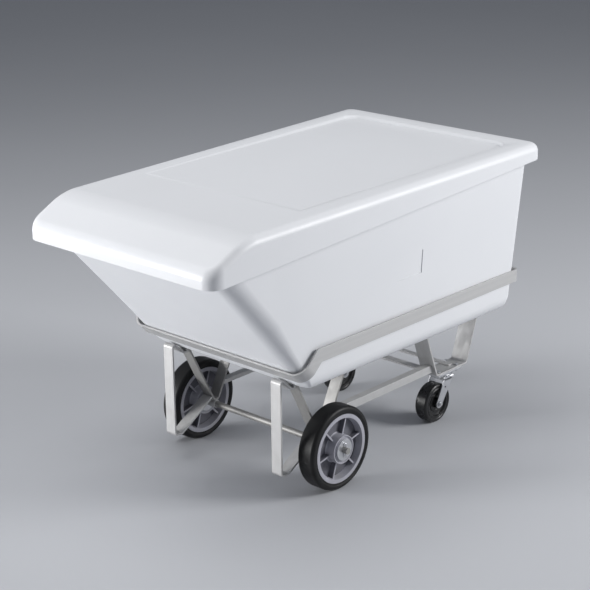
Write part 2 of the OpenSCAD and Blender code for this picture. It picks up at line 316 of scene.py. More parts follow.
    def clean(self) -> None:
        """Merge doubled points and point every face outwards."""
        self.edit()
        bpy.ops.mesh.select_all(action="SELECT")
        bpy.ops.mesh.remove_doubles(threshold=SAME)
        bpy.ops.mesh.normals_make_consistent(inside=False)

    def apply(self, kind: str, **settings: object) -> None:
        """Add one modifier and apply it.

        Args:
            kind: The modifier's type.
            settings: Its settings by name.
        """
        self.hold()
        modifier = self.obj.modifiers.new("step", kind)
        for key, value in settings.items():
            setattr(modifier, key, value)
        bpy.ops.object.modifier_apply(modifier=modifier.name)

    def ease_edges(self, width: float, steps: int = 2, angle: float = 30) -> None:
        """Round every edge that is sharper than an angle in degrees."""
        self.apply("BEVEL", width=width, segments=steps, limit_method="ANGLE",
                   angle_limit=math.radians(angle), use_clamp_overlap=True)

    def smooth(self, angle: float = 35) -> None:
        """Shade the piece smooth up to an angle.

        Args:
            angle: The angle, in degrees.
        """
        self.hold()
        bpy.ops.object.shade_smooth_by_angle(angle=math.radians(angle))
        self.apply("WEIGHTED_NORMAL", keep_sharp=True, weight=80)

    def join(self, others: Sequence["Workpiece"]) -> None:
        """Join other workpieces into this one.

        Args:
            others: The pieces that become part of this one.
        """
        self.hold()
        for other in others:
            other.obj.select_set(True)
        bpy.ops.object.join()

    def mirrored(self, name: str) -> "Workpiece":
        """Copy the piece as its mirror image across the middle plane.

        Args:
            name: The copy's name.

        Returns:
            The copy, with its own mesh.
        """
        self.hold()
        bpy.ops.object.duplicate(linked=False)
        twin = Workpiece(bpy.context.object)
        twin.obj.name = twin.obj.data.name = name
        twin.edit()
        bpy.ops.mesh.select_all(action="SELECT")
        twin.grow((-1, 1, 1), (0, 0, 0))
        twin.clean()
        twin.clear_bench()
        return twin


def arc(centre: Vector, start: Vector, across: Vector, steps: int) -> list[Vector]:
    """Return the points of a quarter turn after its first.

    Args:
        centre: The middle of the bend.
        start: From the middle to the first point.
        across: From the middle to the last point.
        steps: How many points follow the first.

    Returns:
        The points in order.
    """
    return [centre + start * math.cos(math.pi / 2 * i / steps)
            + across * math.sin(math.pi / 2 * i / steps) for i in range(1, steps + 1)]


# ---- finishes


class Grain(Enum):
    """Which way the lines of a rolled or drawn bar run."""

    ALONG_X = (0.02, 1.0, 1.0)
    ALONG_Y = (1.0, 0.02, 1.0)
    ALONG_Z = (1.0, 1.0, 0.02)
    NONE = (1.0, 1.0, 1.0)


class Graph:
    """A shader node tree that is wired while its nodes are added."""

    def __init__(self, tree: bpy.types.NodeTree) -> None:
        """Take a node tree."""
        self.tree = tree

    @classmethod
    def group(cls, name: str, inputs: dict[str, float]) -> tuple:
        """Start a node group that works on a place.

        Args:
            name: The group's name.
            inputs: The first value of each number it takes.

        Returns:
            The graph and the sockets that hold the place and the numbers.
        """
        tree = bpy.data.node_groups.new(name, "ShaderNodeTree")
        tree.interface.new_socket("Place", in_out="INPUT", socket_type="NodeSocketVector")
        for label, value in inputs.items():
            socket = tree.interface.new_socket(label, in_out="INPUT", socket_type="NodeSocketFloat")
            socket.default_value = value
        return cls(tree), tree.nodes.new("NodeGroupInput").outputs

    def add(self, kind: str, values: dict | None = None, sources: dict | None = None,
            **settings: object) -> bpy.types.bpy_prop_collection:
        """Add a node.

        Args:
            kind: The node's type, without the start that all types share.
            values: Constants, by input.
            sources: The outputs that feed other inputs, by input.
            settings: The node's own settings.

        Returns:
            The node's outputs.
        """
        node = self.tree.nodes.new("ShaderNode" + kind)
        for key, value in settings.items():
            setattr(node, key, value)
        for key, value in (values or {}).items():
            node.inputs[key].default_value = value
        for key, source in (sources or {}).items():
            self.tree.links.new(source, node.inputs[key])
        return node.outputs

    def give(self, **results: bpy.types.NodeSocket) -> bpy.types.NodeTree:
        """Send numbers out of the group.

        Args:
            results: The socket that each output gets, by the output's name.

        Returns:
            The finished group.
        """
        for label in results:
            self.tree.interface.new_socket(label, in_out="OUTPUT", socket_type="NodeSocketFloat")
        leave = self.tree.nodes.new("NodeGroupOutput")
        for label, source in results.items():
            self.tree.links.new(source, leave.inputs[label])
        return self.tree


class Shop:
    """The shader node groups that the finishes share."""

    def __init__(self) -> None:
        """Build each group once."""
        self.speckle = self._speckle()
        self.lines = self._lines()
        self.settled = self._settled()

    @staticmethod
    def _speckle() -> bpy.types.NodeTree:
        """Make fine dimples over slow unevenness, as a moulded or cast skin has.

        Returns:
            The group.
        """
        graph, take = Graph.group("moulded_skin",
                                  {"Fine Scale": 400, "Slow Scale": 5, "Slow Share": 0.6})
        fine = graph.add("TexNoise", {"Detail": 3},
                         {"Vector": take["Place"], "Scale": take["Fine Scale"]})["Fac"]
        slow = graph.add("TexNoise", {"Detail": 2},
                         {"Vector": take["Place"], "Scale": take["Slow Scale"]})["Fac"]
        mix = graph.add("Mix", sources={"Factor": take["Slow Share"], "A": fine, "B": slow})
        return graph.give(Height=mix["Result"], Patch=slow)

    @staticmethod
    def _lines() -> bpy.types.NodeTree:
        """Make long fine lines along a bar, with broad soft streaks among them.

        Returns:
            The group.
        """
        graph, take = Graph.group("drawn_lines", {"Scale": 900, "Streak Scale": 60})
        fine = graph.add("TexNoise", {"Detail": 2},
                         {"Vector": take["Place"], "Scale": take["Scale"]})
        broad = graph.add("TexNoise", {"Detail": 4},
                          {"Vector": take["Place"], "Scale": take["Streak Scale"]})
        return graph.give(Line=fine["Fac"], Streak=broad["Fac"])

    @staticmethod
    def _settled() -> bpy.types.NodeTree:
        """Make the mask of settled dirt: broken patches, more of them near the floor.

        Returns:
            The group.
        """
        graph, take = Graph.group("settled_dirt", {"Scale": 30, "Reach": 0.3})
        cloud = graph.add("TexNoise", {"Detail": 6, "Roughness": 0.62},
                          {"Vector": take["Place"], "Scale": take["Scale"]})
        height = graph.add("SeparateXYZ", sources={"Vector": take["Place"]})["Z"]
        share = graph.add("Math", sources={0: height, 1: take["Reach"]}, operation="DIVIDE")
        low = graph.add("MapRange", {"From Min": 1.0, "From Max": 0.0}, {"Value": share["Value"]})
        patch = graph.add("MapRange", {"From Min": 0.42, "From Max": 0.68},
                          {"Value": cloud["Fac"]})
        both = graph.add("Math", sources={0: low["Result"], 1: patch["Result"]},
                         operation="MULTIPLY")
        return graph.give(Mask=both["Value"])


@dataclass(frozen=True)
class Finish:
    """One surface finish: its colours, gloss and the texture of its skin."""

    name: str
    colour: Point
    shade: Point
    roughness: float
    rough_spread: float
    metallic: float = 0.0
    grain: Grain = Grain.NONE
    fine_scale: float = 900.0
    slow_scale: float = 6.0
    slow_share: float = 0.5
    bump: float = 0.2
    bump_depth: float = 0.0002
    dirt: Point = (0.30, 0.28, 0.26)
    dirt_share: float = 0.2
    dirt_reach: float = 0.35
    gloss: float = 0.5

    def _skin(self, graph: Graph, place: bpy.types.NodeSocket, shop: Shop) -> tuple:
        """Lay the skin's texture.

        Args:
            graph: The material's graph.
            place: The place on the object.
            shop: The shared node groups.

        Returns:
            The sockets for its height and its slow patches.
        """
        turned = graph.add("Mapping", {"Scale": self.grain.value}, {"Vector": place})
        source = {"Place": turned["Vector"]}
        if self.grain is Grain.NONE:
            skin = graph.add("Group", {"Fine Scale": self.fine_scale,
                                       "Slow Scale": self.slow_scale,
                                       "Slow Share": self.slow_share}, source,
                             node_tree=shop.speckle)
            return skin["Height"], skin["Patch"]
        skin = graph.add("Group", {"Scale": self.fine_scale, "Streak Scale": self.slow_scale},
                         source, node_tree=shop.lines)
        return skin["Line"], skin["Streak"]

    def make(self, shop: Shop) -> bpy.types.Material:
        """Build the material.

        Args:
            shop: The shared node groups.

        Returns:
            The node material.
        """
        material = bpy.data.materials.new(self.name)
        material.use_nodes = True
        material.node_tree.nodes.clear()
        graph = Graph(material.node_tree)
        place = graph.add("TexCoord")["Object"]
        height, patch = self._skin(graph, place, shop)
        tint = graph.add("Mix", {"A": (*self.colour, 1), "B": (*self.shade, 1)},
                         {"Factor": patch}, data_type="RGBA")
        dirt = graph.add("Group", {"Reach": self.dirt_reach}, {"Place": place},
                         node_tree=shop.settled)
        share = graph.add("Math", {1: self.dirt_share}, {0: dirt["Mask"]}, operation="MULTIPLY")
        soil = graph.add("Mix", {"B": (*self.dirt, 1)},
                         {"Factor": share["Value"], "A": tint["Result"]}, data_type="RGBA")
        rough = graph.add("MapRange", {"From Min": 0.3, "From Max": 0.7,
                                       "To Min": self.roughness - self.rough_spread,
                                       "To Max": self.roughness + self.rough_spread},
                          {"Value": patch})
        bump = graph.add("Bump", {"Strength": self.bump, "Distance": self.bump_depth},
                         {"Height": height})
        shader = graph.add("BsdfPrincipled",
                           {"Specular IOR Level": self.gloss, "Metallic": self.metallic},
                           {"Base Color": soil["Result"], "Roughness": rough["Result"],
                            "Normal": bump["Normal"]})
        graph.add("OutputMaterial", sources={"Surface": shader["BSDF"]})
        return material


class Finishes:
    """Every finish on the truck, made once."""

    def __init__(self) -> None:
        """Make the materials."""
        shop = Shop()
        bar = dict(colour=(0.60, 0.598, 0.595), shade=(0.49, 0.488, 0.486), roughness=0.56,
                   rough_spread=0.07, metallic=0.5, slow_scale=70, bump=0.2,
                   bump_depth=0.0001, dirt=(0.33, 0.32, 0.31), dirt_share=0.25, dirt_reach=0.5)
        self.white = Finish("white_poly", (0.80, 0.81, 0.83), (0.76, 0.77, 0.795), 0.42, 0.05,
                            fine_scale=420, slow_scale=4, slow_share=0.75, bump=0.35,
                            bump_depth=0.0012, dirt_share=0.0).make(shop)
        self.bar_y = Finish("bar_drawn_lengthwise", grain=Grain.ALONG_Y, **bar).make(shop)
        self.bar_x = Finish("bar_drawn_crosswise", grain=Grain.ALONG_X, **bar).make(shop)
        self.bar_z = Finish("bar_drawn_upright", grain=Grain.ALONG_Z, **bar).make(shop)
        # Darker copy of the bar finish for the V straps: painted shade, the same metal coloured
        # darker because the straps face away from the light.
        shaded_bar = dict(bar, colour=(0.40, 0.395, 0.385), shade=(0.32, 0.316, 0.31))
        self.bar_painted_shade = Finish("bar_drawn_painted_shade", grain=Grain.ALONG_Z, **shaded_bar).make(shop)
        self.zinc = Finish("zinc_plate", (0.66, 0.67, 0.69), (0.56, 0.57, 0.60), 0.34, 0.06,
                           metallic=0.85, slow_scale=30, bump=0.08,
                           bump_depth=0.00005).make(shop)
        # The axle is coloured darker than the other bars as painted shade for the shade it lies in
        # under the tub.
        self.axle = Finish("axle_bar_painted_shade", (0.40, 0.395, 0.38), (0.31, 0.305, 0.30), 0.55, 0.06,
                           metallic=0.5, grain=Grain.ALONG_X, slow_scale=60,
                           bump=0.1, bump_depth=0.0001).make(shop)
        self.core = Finish("grey_core", (0.44, 0.44, 0.49), (0.37, 0.37, 0.415), 0.42, 0.07,
                           slow_scale=30, slow_share=0.3, bump=0.2,
                           bump_depth=0.0003, dirt_share=0.35, dirt_reach=0.3).make(shop)
        # The web between the ribs is coloured far darker than the rest of the core, with darker
        # dirt on top: painted shade for the shaded pockets between the ribs.
        self.core_painted_shade = Finish("grey_core_web_painted_shade", (0.17, 0.17, 0.20), (0.11, 0.11, 0.13), 0.6, 0.08,
                          slow_scale=40, slow_share=0.3, bump=0.3,
                          bump_depth=0.0004, dirt=(0.07, 0.066, 0.06), dirt_share=0.5,
                          dirt_reach=0.3).make(shop)
        self.tyre = Finish("black_tyre", (0.006, 0.006, 0.0065), (0.010, 0.010, 0.0105), 0.48,
                           0.08, fine_scale=700, slow_scale=25, bump=0.3, bump_depth=0.0003,
                           dirt=(0.06, 0.057, 0.054), dirt_share=0.3, dirt_reach=0.2,
                           gloss=0.28).make(shop)
        self.black = Finish("black_core", (0.005, 0.005, 0.0055), (0.008, 0.008, 0.009), 0.3,
                            0.06, slow_scale=40, bump=0.2, bump_depth=0.0002,
                            dirt=(0.05, 0.048, 0.045), dirt_share=0.2, dirt_reach=0.15).make(shop)


def dress(piece: Workpiece, material: bpy.types.Material, body: str,
          nodes: Sequence[str]) -> None:
    """Give a finished piece its material, its body and its place in the frame.

    Args:
        piece: The finished piece.
        material: Its finish.
        body: The body it rides on.
        nodes: The frame's nodes it stands for.
    """
    Workpiece.clear_bench()
    piece.obj.data.materials.clear()
    piece.obj.data.materials.append(material)
    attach(piece.obj, body)
    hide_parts(*nodes)
    LOG.info("%s: %d faces on %s", piece.obj.name, len(piece.obj.data.polygons), body)


def refinish(node: str, material: bpy.types.Material, edge: float = 0.0006) -> None:
    """Keep a frame node, ease its edges and give it a finish.

    Args:
        node: The node's name.
        material: Its finish.
        edge: How far its edges are eased.
    """
    obj = bpy.data.objects[node]
    if not obj.material_slots:
        obj.data.materials.append(material)
    for slot in obj.material_slots:
        slot.material = material
    obj.modifiers.new("merge", "WELD").merge_threshold = SAME
    ease = obj.modifiers.new("ease", "BEVEL")
    ease.width, ease.segments = edge, 2
    ease.limit_method, ease.angle_limit = "ANGLE", math.radians(32)
    LOG.info("%s: kept", node)


# ---- lid


@dataclass
class Lid:
    """The moulded lift-off lid with its raised border and sunken panel.

    Places are in millimetres; the roundings and the wall are in metres.
    """

    front_y: float = -558
    rear_y: float = 850
    bend_y: float = -427
    half_rear: float = 391
    half_front: float = 367
    rear_top: float = 888
    bend_top: float = 868
    front_top: float = 802
    skirt_rear: float = 840
    skirt_front: float = 756
    rear_border: float = 76
    panel_front_y: float = -165
    panel_half_rear: float = 318
    panel_half_front: float = 306
    corner: float = 0.044
    edge: float = 0.025
    bend_round: float = 0.042
    panel_corner: float = 0.045
    panel_slope: float = 0.010
    panel_depth: float = 0.009
    panel_round: float = 0.0035
    crown_rise: float = 0.0015
    wall: float = 0.005
    wide_area: float = 0.3
    top_z: float = 0.86
    draw_z: float = 1.5

    def half(self, y: float) -> float:
        """Return the half width at a place along the lid."""
        share = (y - self.front_y) / (self.rear_y - self.front_y)
        return self.half_front + (self.half_rear - self.half_front) * share

    def top(self, y: float) -> float:
        """Return the height of the top behind the bend."""
        share = (y - self.bend_y) / (self.rear_y - self.bend_y)
        return self.bend_top + (self.rear_top - self.bend_top) * share

    def shell(self) -> Workpiece:
        """Shape the lid's outside, before it is hollowed.

        Returns:
            The lid's shell.
        """
        low = mm(-self.half_rear, self.front_y, self.skirt_front)
        high = mm(self.half_rear, self.rear_y, self.rear_top)
        lid = Workpiece.block("lid_shell", low, high)
        bend = mm(0, self.bend_y, 0).y
        lid.saw((0, bend, 0), (0, 1, 0))
        for side in (-1, 1):
            for y, half in ((low.y, self.half_front), (bend, self.half(self.bend_y))):
                lid.nudge(lambda v: v.co.x * side > 0 and abs(v.co.y - y) < 0.01,
                          (side * (half - self.half_rear) / 1000, 0, 0))
        share = (self.bend_y - self.front_y) / (self.rear_y - self.front_y)
        rise = self.skirt_rear - self.skirt_front
        for y, z, by in ((high.y, low.z, rise), (bend, high.z, self.bend_top - self.rear_top),
                         (bend, low.z, share * rise),
                         (low.y, high.z, self.front_top - self.rear_top)):
            lid.nudge(lambda v: abs(v.co.y - y) < 0.01 and abs(v.co.z - z) < 0.01,
                      (0, 0, by / 1000))
        # upright corners, then the soft bend across the top
        lid.pick_edges(lambda e: abs(e.verts[0].co.y - e.verts[1].co.y) < 0.01
                       and abs(e.verts[0].co.z - e.verts[1].co.z) > 0.03
                       and abs(e.verts[0].co.y - bend) > 0.05)
        lid.round_over(self.corner, 10)
        lid.pick_edges(lambda e: all(abs(v.co.y - bend) < 0.01 and v.co.z > self.top_z
                                     for v in e.verts))
        lid.round_over(self.bend_round, 8)
        return lid

    def crown(self, lid: Workpiece) -> None:
        """Round the top's edge, raise the border and sink the panel.

        Args:
            lid: The lid's shell.
        """
        lid.pick_edges(self._rim_edge)
        lid.round_over(self.edge, 7)
        lid.pick_faces(lambda f: f.normal.z > 0.95 and f.calc_area() > self.wide_area)
        lid.drop_faces()
        # the panel is drawn a metre up, then let down into the opening
        up, rear = Vector((0, 0, 1)), self.rear_y - self.rear_border
        bpy.ops.mesh.primitive_plane_add(size=1, location=(0, 0, 2))
        lid.clear_bench()
        for side in (-1, 1):
            for end, y, half in ((0.5, rear, self.panel_half_rear),
                                 (-0.5, self.panel_front_y, self.panel_half_front)):
                lid.carry(Vector((side * 0.5, end, 2)), mm(side * half, y, self.top(y)) + up)
        lid.pick_points(lambda v: v.co.z > self.draw_z and v.co.y > 0.3)
        bpy.ops.mesh.bevel(offset=self.panel_corner, segments=9, affect="VERTICES")
        lid.pick_faces(lambda f: f.calc_center_median().z > self.draw_z)
        lid.inset(self.panel_slope)
        foot = rear / 1000 + AXLE_Y - self.panel_slope
        lid.nudge(lambda v: v.co.z > self.draw_z and v.co.y > foot - self.panel_corner
                  and any(f.calc_area() > self.wide_area for f in v.link_faces),
                  (0, 0, -self.panel_depth))
        lid.nudge(lambda v: v.co.z > self.draw_z, -up)
        lid.pick_edges(lambda e: len(e.link_faces) == 1 and e.verts[0].co.z > self.top_z - 0.01)
        bpy.ops.mesh.bridge_edge_loops(number_cuts=3, interpolation="LINEAR")
        for reach, rise in ((0.75, 1), (0.5, 0.35)):
            lid.nudge(lambda v: self._on_border(v, reach), (0, 0, self.crown_rise * rise))
        lid.pick_edges(self._panel_edge)
        lid.round_over(self.panel_round, 4)

    def build(self, finishes: Finishes) -> None:
        """Make and dress the lid.

        Args:
            finishes: The finishes it takes its own from.
        """
        lid = self.shell()
        self.crown(lid)
        lid.pick_faces(lambda f: f.normal.z < -0.9)
        lid.drop_faces()
        bpy.ops.mesh.select_all(action="SELECT")
        bpy.ops.mesh.remove_doubles(threshold=0.0004)
        lid.apply("SOLIDIFY", thickness=self.wall, offset=-1, use_even_offset=False)
        lid.smooth()
        dress(lid, finishes.white, "lid", ["lid"])

    @staticmethod
    def _rim_edge(edge: bmesh.types.BMEdge) -> bool:
        """Tell whether an edge lies between the lid's top and its skirt."""
        rises = [f.normal.z for f in edge.link_faces]
        return (len(rises) == 2 and any(z > 0.5 for z in rises)
                and any(abs(z) < 0.3 for z in rises))

    def _border_share(self, point: Vector) -> float:
        """Measure how far across the border a point is.

        Args:
            point: A point of the top.

        Returns:
            0 at the panel's edge and 1 at the rim.
        """
        x, y = abs(point.x) * 1000, (point.y - AXLE_Y) * 1000
        inner = self.panel_half_rear + (y - self.rear_y + self.rear_border) * 0.013
        outer = self.half(y) - self.edge * 1000
        aside = (x - inner) / (outer - inner)
        behind = (y - self.rear_y + self.rear_border) / (self.rear_border - self.edge * 1000)
        return max(aside, behind)

    def _on_border(self, vert: bmesh.types.BMVert, reach: float) -> bool:
        """Tell whether a point lies about the border's middle line.

        Args:
            vert: The point.
            reach: How wide a share of the border counts.

        Returns:
            Whether it lies within that share.
        """
        if vert.co.z < self.top_z or (vert.co.y - AXLE_Y) * 1000 < self.panel_front_y:
            return False
        return abs(self._border_share(vert.co) - 0.5) < reach / 2 - 0.1

    def _panel_edge(self, edge: bmesh.types.BMEdge) -> bool:
        """Tell whether an edge is the lip or the foot of the sunken panel's wall.

        Args:
            edge: The edge.

        Returns:
            Whether it is one of them.
        """
        if len(edge.link_faces) != 2 or edge.verts[0].co.z < self.top_z:
            return False
        small, large = sorted(f.calc_area() for f in edge.link_faces)
        if large > self.wide_area and small < 0.1:
            return True
        return self._is_slope(edge.link_faces[0]) != self._is_slope(edge.link_faces[1])

    def _is_slope(self, face: bmesh.types.BMFace) -> bool:
        """Tell whether a face is part of the panel's sloping wall, next to the panel itself."""
        return len(face.verts) == 4 and any(
            g.calc_area() > self.wide_area for e in face.edges for g in e.link_faces
            if g is not face)


# ---- tub


@dataclass
class Tub:
    """The moulded tub with its sloping nose, turned lip and plain sunken panels.

    Corners are half width, place and height in millimetres; the roundings are shares of the
    widest, which is in metres like the walls.
    """

    rear: Point = (363.9, 824, 872)
    bend: Point = (344.5, -350, 853)
    front: Point = (342.6, -509.1, 769)
    floor_rear: Point = (328, 798, 343)
    floor_front: Point = (323, -132.2, 343)
    widest_round: float = 0.058
    nose_foot_round: float = 0.5
    rear_foot_round: float = 0.72
    side_foot_round: float = 0.88
    rear_corner_round: float = 0.66
    nose_corner_round: float = 0.95
    wall: float = 0.006
    mouth: tuple[float, float] = (0.352, 0.667)
    lip_out: float = 0.0065
    lip_down: float = 0.008
    panel_y: tuple[float, float] = (205, 320)
    panel_z: tuple[float, float] = (588, 660)
    panel_depths: tuple[float, float] = (0.7, 2.2)

    def shell(self) -> Workpiece:
        """Shape the tub's outside, before it is hollowed.

        Returns:
            The tub's shell.
        """
        low, high = mm(-350, -500, 343), mm(350, 824, 872)
        tub = Workpiece.block("tub_shell", low, high)
        cut = mm(0, self.bend[1], 0).y
        tub.saw((0, cut, 0), (0, 1, 0))
        # the cut's foot becomes the front of the floor, the block's foot the middle of the nose
        nose = (mm(*self.front) + mm(*self.floor_front)) / 2
        for y, z, goal in ((high.y, high.z, mm(*self.rear)), (high.y, low.z, mm(*self.floor_rear)),
                           (cut, high.z, mm(*self.bend)), (low.y, high.z, mm(*self.front)),
                           (cut, low.z, mm(*self.floor_front)), (low.y, low.z, nose)):
            for side in (Vector((-1, 1, 1)), Vector((1, 1, 1))):
                tub.carry(Vector((high.x, y, z)) * side, goal * side)
        # the side walls wind a little, so they are ruled from floor to rim
        for y in range(-60, 780, 60):
            tub.saw(mm(0, y, 0), (0, 1, 0))
        return tub

    def build(self, finishes: Finishes) -> None:
        """Make and dress the tub.

        Args:
            finishes: The finishes it takes its own from.
        """
        tub = self.shell()
        self._weights(tub)
        tub.apply("BEVEL", width=self.widest_round, segments=9, limit_method="WEIGHT",
                  use_clamp_overlap=False, loop_slide=True)
        tub.pick_faces(lambda f: f.normal.z > 0.4)
        tub.drop_faces()
        # the lip turns outwards and down
        tub.pick_border()
        tub.pull((0, 0, 0))
        across, along = self.mouth
        tub.grow((1 + self.lip_out / across, 1 + self.lip_out / along, 1), mm(0, 160, 860))
        tub.pull((0, 0, -self.lip_down))
        tub.apply("SOLIDIFY", thickness=self.wall, offset=-1, use_even_offset=True)
        self._sink_panels(tub)
        tub.smooth(40)
        dress(tub, finishes.white, "frame", ["tub"])

    def _share(self, a: Vector, b: Vector) -> float:
        """Say how far an outer edge is rounded.

        Args:
            a: The edge's first point.
            b: Its second point.

        Returns:
            A share of the widest rounding.
        """
        nose_foot, rear_foot = mm(*self.floor_front).y, mm(*self.floor_rear).y
        if abs(a.x - b.x) > 0.3:
            if min(a.z, b.z) < 0.36 and abs(a.y - nose_foot) < 0.001:
                return self.nose_foot_round
            if min(a.z, b.z) < 0.36 and abs(a.y - rear_foot) < 0.001:
                return self.rear_foot_round
            return 0.0
        if max(a.z, b.z) < 0.36:
            return self.side_foot_round
        if min(a.y, b.y) > rear_foot - 0.001:
            return self.rear_corner_round
        if max(a.z, b.z) < 0.80 and max(a.y, b.y) < 0:
            return self.nose_corner_round
        return 0.0

    def _weights(self, tub: Workpiece) -> None:
        """Write every outer edge's rounding on the shell.

        Args:
            tub: The tub's shell.
        """
        tub.clear_bench()
        mesh = tub.obj.data
        layer = mesh.attributes.new("bevel_weight_edge", "FLOAT", "EDGE")
        for edge in mesh.edges:
            a, b = (mesh.vertices[i].co for i in edge.vertices)
            layer.data[edge.index].value = self._share(a, b)

    def wall_x(self, y: float, z: float) -> float:
        """Measure the tub at one place of its side wall.

        Args:
            y: The place along the tub.
            z: The height.

        Returns:
            The outside half width.
        """
        along = (y - self.floor_front[1]) / (self.floor_rear[1] - self.floor_front[1])
        foot = self.floor_front[0] + (self.floor_rear[0] - self.floor_front[0]) * along
        along = (y - self.bend[1]) / (self.rear[1] - self.bend[1])
        rim = self.bend[0] + (self.rear[0] - self.bend[0]) * along
        rim_z = self.bend[2] + (self.rear[2] - self.bend[2]) * along
        return foot + (rim - foot) * (z - self.floor_rear[2]) / (rim_z - self.floor_rear[2])

    def _sink_panels(self, tub: Workpiece) -> None:
        """Sink a plain panel into each side wall, deepest at its rear.

        Args:
            tub: The hollowed tub.
        """
        low, high = Vector((0.30, -5, -5)), Vector((0.40, -4, -4))
        for side in (1, -1):
            cutter = Workpiece.block("panel_cutter", low, high)
            for y, depth, was_y in zip(self.panel_y, self.panel_depths, (low.y, high.y)):
                for z, was_z in zip(self.panel_z, (low.z, high.z)):
                    goal = mm(self.wall_x(y, z) - depth, y, z)
                    cutter.carry(Vector((low.x, was_y, was_z)), goal)
                    cutter.carry(Vector((high.x, was_y, was_z)), Vector((high.x, *goal.yz)))
            if side < 0:
                cutter.pick_faces(lambda f: True)
                cutter.grow((-1, 1, 1), (0, 0, 0))
                cutter.clean()
            tub.cut_away(cutter)


# ---- undercarriage


@dataclass
class Band:
    """The flat bar that runs level round the tub and slopes down round its nose (millimetres)."""

    half: float = 340.3
    rear_y: float = 810
    kink_y: float = -138
    top_z: float = 481
    height: float = 40
    thick: float = 6
    rear_corner: float = 16
    nose_corner: float = 40
    reach: float = 92.7
    tilt: float = math.radians(43)

    def _sloped(self, x: float, y: float) -> tuple[Vector, Vector]:
        """Find a station on the sloping part, in its own plane.

        Args:
            x: The place across.
            y: The place up the slope.

        Returns:
            The strip's upper and lower point.
        """
        c, s = math.cos(self.tilt), math.sin(self.tilt)
        upper = mm(x, self.kink_y + y * c, self.top_z + y * s)
        return upper, upper + Vector((0, self.height * s, -self.height * c)) / 1000

    def build(self, finishes: Finishes) -> None:
        """Make and dress the band.

        Args:
            finishes: The finishes it takes its own from.
        """
        drop = Vector((0, 0, -self.height / 1000))
        r, n = self.rear_corner, self.nose_corner
        level = [mm(0, self.rear_y, self.top_z), mm(self.half - r, self.rear_y, self.top_z)]
        level += arc(mm(self.half - r, self.rear_y - r, self.top_z), Vector((0, r, 0)) / 1000,
                     Vector((r, 0, 0)) / 1000, 8)
        stations = [(p, p + drop) for p in level]
        mitre = self.height * math.tan(self.tilt / 2)
        stations.append((mm(self.half, self.kink_y, self.top_z),
                         mm(self.half, self.kink_y + mitre, self.top_z - self.height)))
        stations.append(self._sloped(self.half, n - self.reach))
        for step in range(1, 13):
            a = math.pi / 2 * step / 12
            stations.append(self._sloped(self.half - n + n * math.cos(a),
                                         n - self.reach - n * math.sin(a)))
        stations.append(self._sloped(0, -self.reach))
        band = Workpiece.strip("tub_band", stations)
        band.apply("MIRROR", use_clip=True, merge_threshold=0.0001)
        band.apply("SOLIDIFY", thickness=self.thick / 1000, offset=0, use_even_offset=True)
        band.clean()
        band.ease_edges(0.0009, 2, 40)
        band.smooth()
        dress(band, finishes.bar_y, "frame", ["band", "nose_band"])


@dataclass
class Undercarriage:
    """The welded bars under the tub, kept from the frame and finished (metres)."""

    strap_edge: float = 0.0009
    bar_edge: float = 0.0006
    angle_edge: float = 0.0005

    def build(self, finishes: Finishes) -> None:
        """Dress the bars.

        Args:
            finishes: The finishes it takes its own from.
        """
        for side in SIDES:
            for node, finish, edge in (("front_leg", finishes.bar_z, self.strap_edge),
                                       # the V straps take the painted-shade copy of the bar finish
                                       ("v_strap", finishes.bar_painted_shade, self.strap_edge),
                                       ("under_rail", finishes.bar_y, self.strap_edge),
                                       ("lower_rail", finishes.bar_y, self.angle_edge),
                                       ("caster_strap", finishes.bar_z, self.strap_edge),
                                       ("axle_sleeve", finishes.bar_x, self.bar_edge)):
                refinish(f"{node}_{side}", finish, edge)
        for node in ("rail_cross_bar", "strap_cross_bar"):
            refinish(node, finishes.bar_x, self.bar_edge)


# ---- wheels


